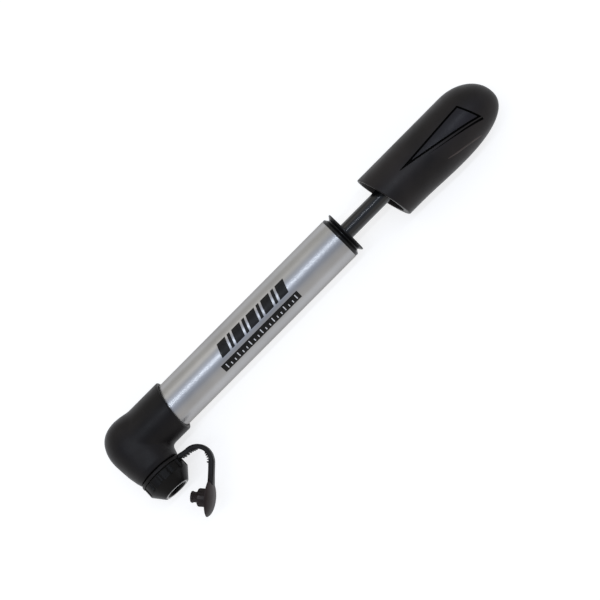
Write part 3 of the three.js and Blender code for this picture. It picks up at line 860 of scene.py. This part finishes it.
def handle_ring(x_of_y, inset, count, radius=None):
    """Points round the handle where its surface meets x = x_of_y(y), or round a bore of that radius."""
    ring = []
    for i in range(count):
        angle = 2 * math.pi * i / count
        y = 0.0
        for _ in range(4):
            x = x_of_y(y)
            mid, high, wide = handle_section(x)
            if radius is not None:
                mid, high, wide = 0.0, radius + inset, radius + inset
            y = mid + max(high - inset, 0.01) * math.cos(angle)
        ring.append((x_of_y(y), y, max(wide - inset, 0.01) * math.sin(angle)))
    return ring


def mouth_x(y):
    """Where the slanted mouth cuts the handle at height y."""
    h = HANDLE
    share = (y - h["bottom"]) / (h["top"] - h["bottom"])
    return h["mouth_bottom"] + (h["mouth_top"] - h["mouth_bottom"]) * share


def socket_rings(count):
    """The socket, from the middle of its floor out to the mouth."""
    bore, floor = HANDLE["socket"], HANDLE["socket_end"]
    wall = floor - 0.6
    rings = [[(floor, 0.0, 0.0)]]
    rings.append(handle_ring(lambda y: floor, 0.0, count, bore - 0.6))
    rings.append(handle_ring(lambda y: wall, 0.0, count, bore))
    for t in np.linspace(0.1, 1, 12):
        rings.append(handle_ring(lambda y, t=t: wall * (1 - t) + (mouth_x(y) + 0.5) * t, 0.0, count, bore))
    rings.append(handle_ring(lambda y: mouth_x(y) + 0.12, 0.0, count, bore + 0.12))
    rings.append(handle_ring(mouth_x, 0.0, count, bore + 0.4))
    return rings


def skin_rings(count):
    """The outside, from the rounded lip of the mouth to the tip."""
    h = HANDLE
    lip = h["lip"]
    rings = []
    for a in np.linspace(0, math.pi / 2, 7):
        inset = lip * (1 - math.sin(a))
        rings.append(handle_ring(lambda y, a=a: mouth_x(y) + lip * (1 - math.cos(a)), inset, count))
    for t in np.linspace(0.04, 1, 26):
        back = lambda y, t=t: (mouth_x(y) + lip) * (1 - t) + h["belly_start"] * t
        rings.append(handle_ring(back, 0.0, count))
    for x in np.linspace(h["belly_start"], h["side_nose"], 30)[1:]:
        rings.append(handle_ring(lambda y, x=x: x, 0.0, count))
    for a in np.linspace(0, math.pi / 2, 56)[1:-1]:
        x = h["side_nose"] + (h["tip"] - h["side_nose"]) * math.sin(a)
        rings.append(handle_ring(lambda y, x=x: x, 0.0, count))
    rings.append([(h["tip"], h["tip_y"], 0.0)])
    return rings


# Corners as (x, y) on the handle's side; the second groove tapers and runs below the inlay.
INLAY = {
    "tip": (173.3, -0.6), "top": (212.6, 2.1), "low": (217.3, -8.8),
    "groove": 0.95, "depth": 1.1, "sunk": 0.12,
    "second_start": (187.0, -4.3), "second_end": (217.2, -9.7), "second_half": 0.5, "second_depth": 0.8,
}


def inlay_outline(margin):
    """The inlay's outline drawn in by margin: a long point, a straight upper edge and a slanted base."""
    corners = [np.array(INLAY[k], float) for k in ("tip", "low", "top")]
    lines = []
    for a, b in zip(corners, corners[1:] + corners[:1]):
        direction = (b - a) / np.linalg.norm(b - a)
        normal = np.array([-direction[1], direction[0]])
        lines.append((a + normal * margin, direction))
    result = []
    for (p, d), (q, e) in zip(lines[-1:] + lines[:-1], lines):
        t = np.linalg.solve(np.column_stack([d, -e]), q - p)
        result.append(p + d * t[0])
    return result


def handle_height(x, y, inset):
    """Half width of the handle's surface over a point of its side view, drawn in by inset."""
    mid, high, wide = handle_section(x)
    share = (y - mid) / (high - inset)
    return (wide - inset) * math.sqrt(max(0.0, 1 - share * share))


def side_patch(name, triangle, side, outer, inner, material):
    """A closed plate over a tip, low and top corner, that follows the handle between two insets."""
    tip, low, top = (np.array(p, float) for p in triangle)
    rows, columns, blunt = 48, 14, 0.02

    def corner(layer, i, j):
        t = blunt + (1 - blunt) * i / rows
        left, right = tip + (low - tip) * t, tip + (top - tip) * t
        x, y = left + (right - left) * (j / columns)
        return x, y, side * handle_height(x, y, (outer, inner)[layer])

    vertices, faces = plate_mesh(rows, columns, corner)
    return outward(build(name, vertices, faces, material, 40.0))


def cut_away(piece, cutters):
    """Exact boolean cuts, applied to the mesh."""
    for cutter in cutters:
        modifier = piece.modifiers.new("cut", "BOOLEAN")
        modifier.operation = "DIFFERENCE"
        modifier.solver = "EXACT"
        modifier.material_mode = "TRANSFER"
        modifier.object = cutter
    graph = bpy.context.evaluated_depsgraph_get()
    done = bpy.data.meshes.new_from_object(piece.evaluated_get(graph))
    piece.modifiers.clear()
    piece.data = done
    for cutter in cutters:
        bpy.data.objects.remove(cutter)
    return piece


# The crease line as (x, y) on the handle's side.
CREASE = [(193.0, -11.6), (198.0, -12.5), (203.5, -13.1), (208.5, -13.7), (213.0, -14.2)]


def add_creases():
    """A fine raised line on each side of the handle's belly, near its tip, coloured much paler than the grip
    as a painted highlight along the crease.
    """
    line = np.array(CREASE)
    for side, name in ((1, "left"), (-1, "right")):
        rings = []
        for t in np.linspace(0, 1, 60):
            x = float(np.interp(t, np.linspace(0, 1, len(line)), line[:, 0]))
            y = float(np.interp(t, np.linspace(0, 1, len(line)), line[:, 1]))
            size = 0.05 + 0.33 * math.sin(math.pi * t) ** 0.5
            ring = []
            for a in np.linspace(0, 2 * math.pi, 10, endpoint=False):
                high = y + size * math.cos(a)
                ring.append((x, high, side * (handle_height(x, high, 0.06) + size * 0.8 * math.sin(a))))
            rings.append(ring)
        vertices, faces = rings_to_mesh(closed_ends(rings))
        crease = outward(build("grip_crease_" + name, vertices, faces, M["crease_highlight"], 60.0))
        finish_piece(crease, "rod_and_handle", "grip_rubber")


def groove_cutters():
    """Cutters for the pocket round each inlay and for the tapering groove below it. Their near-black matt
    material passes to the cut walls and floors as painted shade in the grooves.
    """
    start, end = np.array(INLAY["second_start"]), np.array(INLAY["second_end"])
    along = (end - start) / np.linalg.norm(end - start)
    half = np.array((-along[1], along[0])) * INLAY["second_half"]
    second = [start - half * 0.12, end - half, end + half]
    cutters = []
    for side in (1, -1):
        cutters.append(side_patch("cutter", inlay_outline(0.0), side, -1.0, INLAY["depth"], M["groove"]))
        cutters.append(side_patch("cutter", second, side, -1.0, INLAY["second_depth"], M["groove"]))
    return cutters


def add_handle():
    """The bullet-shaped grip with its grooves cut in, and the two inlays in their pockets."""
    count = 176
    vertices, faces = rings_to_mesh(socket_rings(count) + skin_rings(count))
    shell = outward(build("handle_grip", vertices, faces, M["grip"], 40.0))
    cut_away(shell, groove_cutters())
    shell.data.shade_smooth()
    shell.data.set_sharp_from_angle(angle=math.radians(32))
    finish_piece(shell, "rod_and_handle", "grip_rubber", "handle_shell")
    outline = inlay_outline(INLAY["groove"])
    floor = INLAY["depth"] - 0.05
    for side, name in ((1, "left"), (-1, "right")):
        plate = side_patch("inlay_" + name, outline, side, INLAY["sunk"], floor, M["inlay"])
        finish_piece(plate, "rod_and_handle", "inlay_rubber", "grip_inlay_" + name)


# ---------------------------------------- printed graphic


def barrel_patch(corners, lift=0.03):
    """A thin closed plate of ink over a four-cornered outline of (x, arc length) on the barrel."""
    a, b, c, d = (np.array(p, float) for p in corners)
    rows, columns = 10, max(2, int(np.linalg.norm(b - a) / 2))

    def corner(layer, i, j):
        s, t = j / columns, i / rows
        x, arc = (a * (1 - s) + b * s) * (1 - t) + (d * (1 - s) + c * s) * t
        radius = BARREL_RADIUS + (lift, -0.05)[layer]
        angle = arc / BARREL_RADIUS
        return x, -radius * math.sin(angle), radius * math.cos(angle)

    return plate_mesh(rows, columns, corner)


def barrel_box(x, width, base, top, lift=0.03):
    """An upright rectangle of ink, from x over width and from one arc length to another."""
    return barrel_patch([(x, base), (x + width, base), (x + width, top), (x, top)], lift)


def join_patches(name, patches, material):
    vertices, faces = [], []
    for more, their in patches:
        faces.extend(tuple(i + len(vertices) for i in f) for f in their)
        vertices.extend(more)
    return outward(build(name, vertices, faces, material))


# Arc lengths are round the barrel, from its top towards the nozzle's side.
PRINT = {"low": -3.4, "high": 3.2, "start": 57.9, "bars": (5.2, 1.7) * 4 + (5.2,), "gap": 1.2, "lean": 0.36}
BAND = {"low": 5.3, "high": 9.3, "start": 54.6, "end": 103.2, "ticks": 19, "first": 56.8, "pitch": 2.45}


def add_bars():
    """Broad and narrow slanted bars in turn."""
    p = PRINT
    low, high = p["low"], p["high"]
    lean = p["lean"] * (high - low)
    bars = []
    x = p["start"]
    for width in p["bars"]:
        bars.append(barrel_patch([(x, high), (x + width, high), (x + width + lean, low), (x + lean, low)]))
        x += width + p["gap"]
    finish_piece(join_patches("barrel_bars", bars, M["ink"]), "barrel_and_head", "head_plastic")


def add_band():
    """A dark band with a row of pale ticks on it, every third one longer."""
    b = BAND
    band = [barrel_box(b["start"], b["end"] - b["start"], b["high"], b["low"])]
    finish_piece(join_patches("barrel_band", band, M["ink"]), "barrel_and_head", "head_plastic")
    base = b["high"] - 0.8
    ticks = []
    for i in range(b["ticks"]):
        tall = 2.4 if i % 3 == 0 else 1.3
        ticks.append(barrel_box(b["first"] + i * b["pitch"], 0.45, base, base - tall, 0.045))
    finish_piece(join_patches("barrel_ticks", ticks, M["pale_ink"]), "barrel_and_head", "barrel_aluminium")


# ---------------------------------------- carried nodes

# The inner CAD nodes keep their shapes, and take these materials.
CARRIED = {
    "core_pin": "nylon", "barrel_gasket": "gland", "barrel_plug": "nylon", "plug_o_ring": "gland",
    "check_ball": "steel", "check_spring": "steel", "rod_bushing": "nylon", "piston_head": "nylon",
    "piston_seal": "gland", "guide_ring": "nylon", "rod_bumper": "gland", "handle_core": "head",
    "rod_pin": "steel", "stop_washer": "gland",
}


def dress_carried_nodes():
    for node, key in CARRIED.items():
        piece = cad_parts[node]
        piece.data.materials.clear()
        piece.data.materials.append(M[key])


# ---------------------------------------- stage


def add_floor():
    """A pale matt floor, lit from within so that shadows on it stay faint."""
    floor = bpy.data.meshes.new("floor")
    half = 60.0
    corners = [(-half, -half, 0), (half, -half, 0), (half, half, 0), (-half, half, 0)]
    floor.from_pydata(corners, [], [(0, 1, 2, 3)])
    material, tree, shader, coordinates = new_material("floor")
    tone = remap(tree, noise(tree, coordinates, 3.0), 0.0, 1.0)
    tree.links.new(ramp_colours(tree, tone, (0.40,) * 3, (0.42,) * 3), shader.inputs["Base Color"])
    shader.inputs["Roughness"].default_value = 0.9
    shader.inputs["Emission Color"].default_value = (1, 1, 1, 1)
    shader.inputs["Emission Strength"].default_value = 0.71
    floor.materials.append(material)
    plane = bpy.data.objects.new("floor", floor)
    bpy.context.scene.collection.objects.link(plane)


# The studio by angle from straight up, in degrees: minus is the nozzle's side of the barrel.
SURROUND = [
    (-90, (0.72, 0.69, 0.66)), (-60, (0.76, 0.75, 0.73)), (-46, (0.70, 0.70, 0.72)),
    (-30, (0.36, 0.40, 0.48)), (-15, (0.52, 0.58, 0.72)), (0, (0.60, 0.67, 0.86)),
    (14, (0.58, 0.64, 0.78)), (34, (0.68, 0.68, 0.68)), (52, (0.76, 0.75, 0.70)), (90, (0.64, 0.62, 0.58)),
]
END_WALLS = (0.70, 0.70, 0.70, 1)


def studio_world():
    """A soft surround, plain at its two ends, that changes with the angle round the barrel's axis."""
    world = bpy.data.worlds.new("studio")
    world.use_nodes = True
    tree = world.node_tree
    direction = tree.nodes.new("ShaderNodeTexCoord").outputs["Generated"]
    split = tree.nodes.new("ShaderNodeSeparateXYZ")
    tree.links.new(direction, split.inputs["Vector"])
    angle = tree.nodes.new("ShaderNodeMath")
    angle.operation = "ARCTAN2"
    tree.links.new(split.outputs["Y"], angle.inputs[0])
    tree.links.new(split.outputs["Z"], angle.inputs[1])
    share = tree.nodes.new("ShaderNodeMapRange")
    share.inputs["From Min"].default_value = -math.pi / 2
    share.inputs["From Max"].default_value = math.pi / 2
    tree.links.new(angle.outputs[0], share.inputs["Value"])
    ramp = tree.nodes.new("ShaderNodeValToRGB")
    stops = ramp.color_ramp.elements
    while len(stops) < len(SURROUND):
        stops.new(0.5)
    for stop, (degrees, colour) in zip(stops, SURROUND):
        stop.position = (degrees + 90) / 180
        stop.color = (*colour, 1)
    tree.links.new(share.outputs["Result"], ramp.inputs["Fac"])
    reach = tree.nodes.new("ShaderNodeMath")
    reach.operation = "ABSOLUTE"
    tree.links.new(split.outputs["X"], reach.inputs[0])
    mix = tree.nodes.new("ShaderNodeMix")
    mix.data_type = "RGBA"
    mix.inputs["B"].default_value = END_WALLS
    tree.links.new(remap(tree, reach.outputs[0], 0.0, 1.0, 0.80, 0.96), mix.inputs["Factor"])
    tree.links.new(ramp.outputs["Color"], mix.inputs["A"])
    tree.links.new(mix.outputs["Result"], tree.nodes["Background"].inputs["Color"])
    return world


# Each soft box: place, target, size, radiance and colour.
LIGHTS = {
    "strip": ((101, 6, 900), (101, 0, 0), (1400, 9), 62.0, (0.86, 0.93, 1.0)),
    "side": ((-60, 620, 620), (101, 0, 0), (500, 260), 0.7, (1.0, 0.97, 0.92)),
}


def add_light(name, place, target, size, radiance, colour):
    """A rectangular soft box of a given radiance at a working place in mm, aimed at a target."""
    light = bpy.data.lights.new(name, "AREA")
    light.shape = "RECTANGLE"
    light.size, light.size_y = (s * MM for s in size)
    light.energy = math.pi * light.size * light.size_y * radiance
    light.color = colour
    lamp = bpy.data.objects.new(name, light)
    lamp.location = row(*place)
    aim = row(*target) - lamp.location
    lamp.rotation_euler = aim.to_track_quat("-Z", "Y").to_euler()
    bpy.context.scene.collection.objects.link(lamp)


add_barrel()
add_collar()
add_wiper()
add_rod()
add_head()
add_nozzle()
add_mouth_bead()
add_gland()
add_tether_ring()
add_strap()
add_dust_cap()
add_handle()
add_creases()
add_bars()
add_band()
dress_carried_nodes()
add_floor()
bpy.context.scene.world = studio_world()
bpy.context.scene.view_settings.view_transform = "Standard"
for light_name, settings in LIGHTS.items():
    add_light(light_name, *settings)
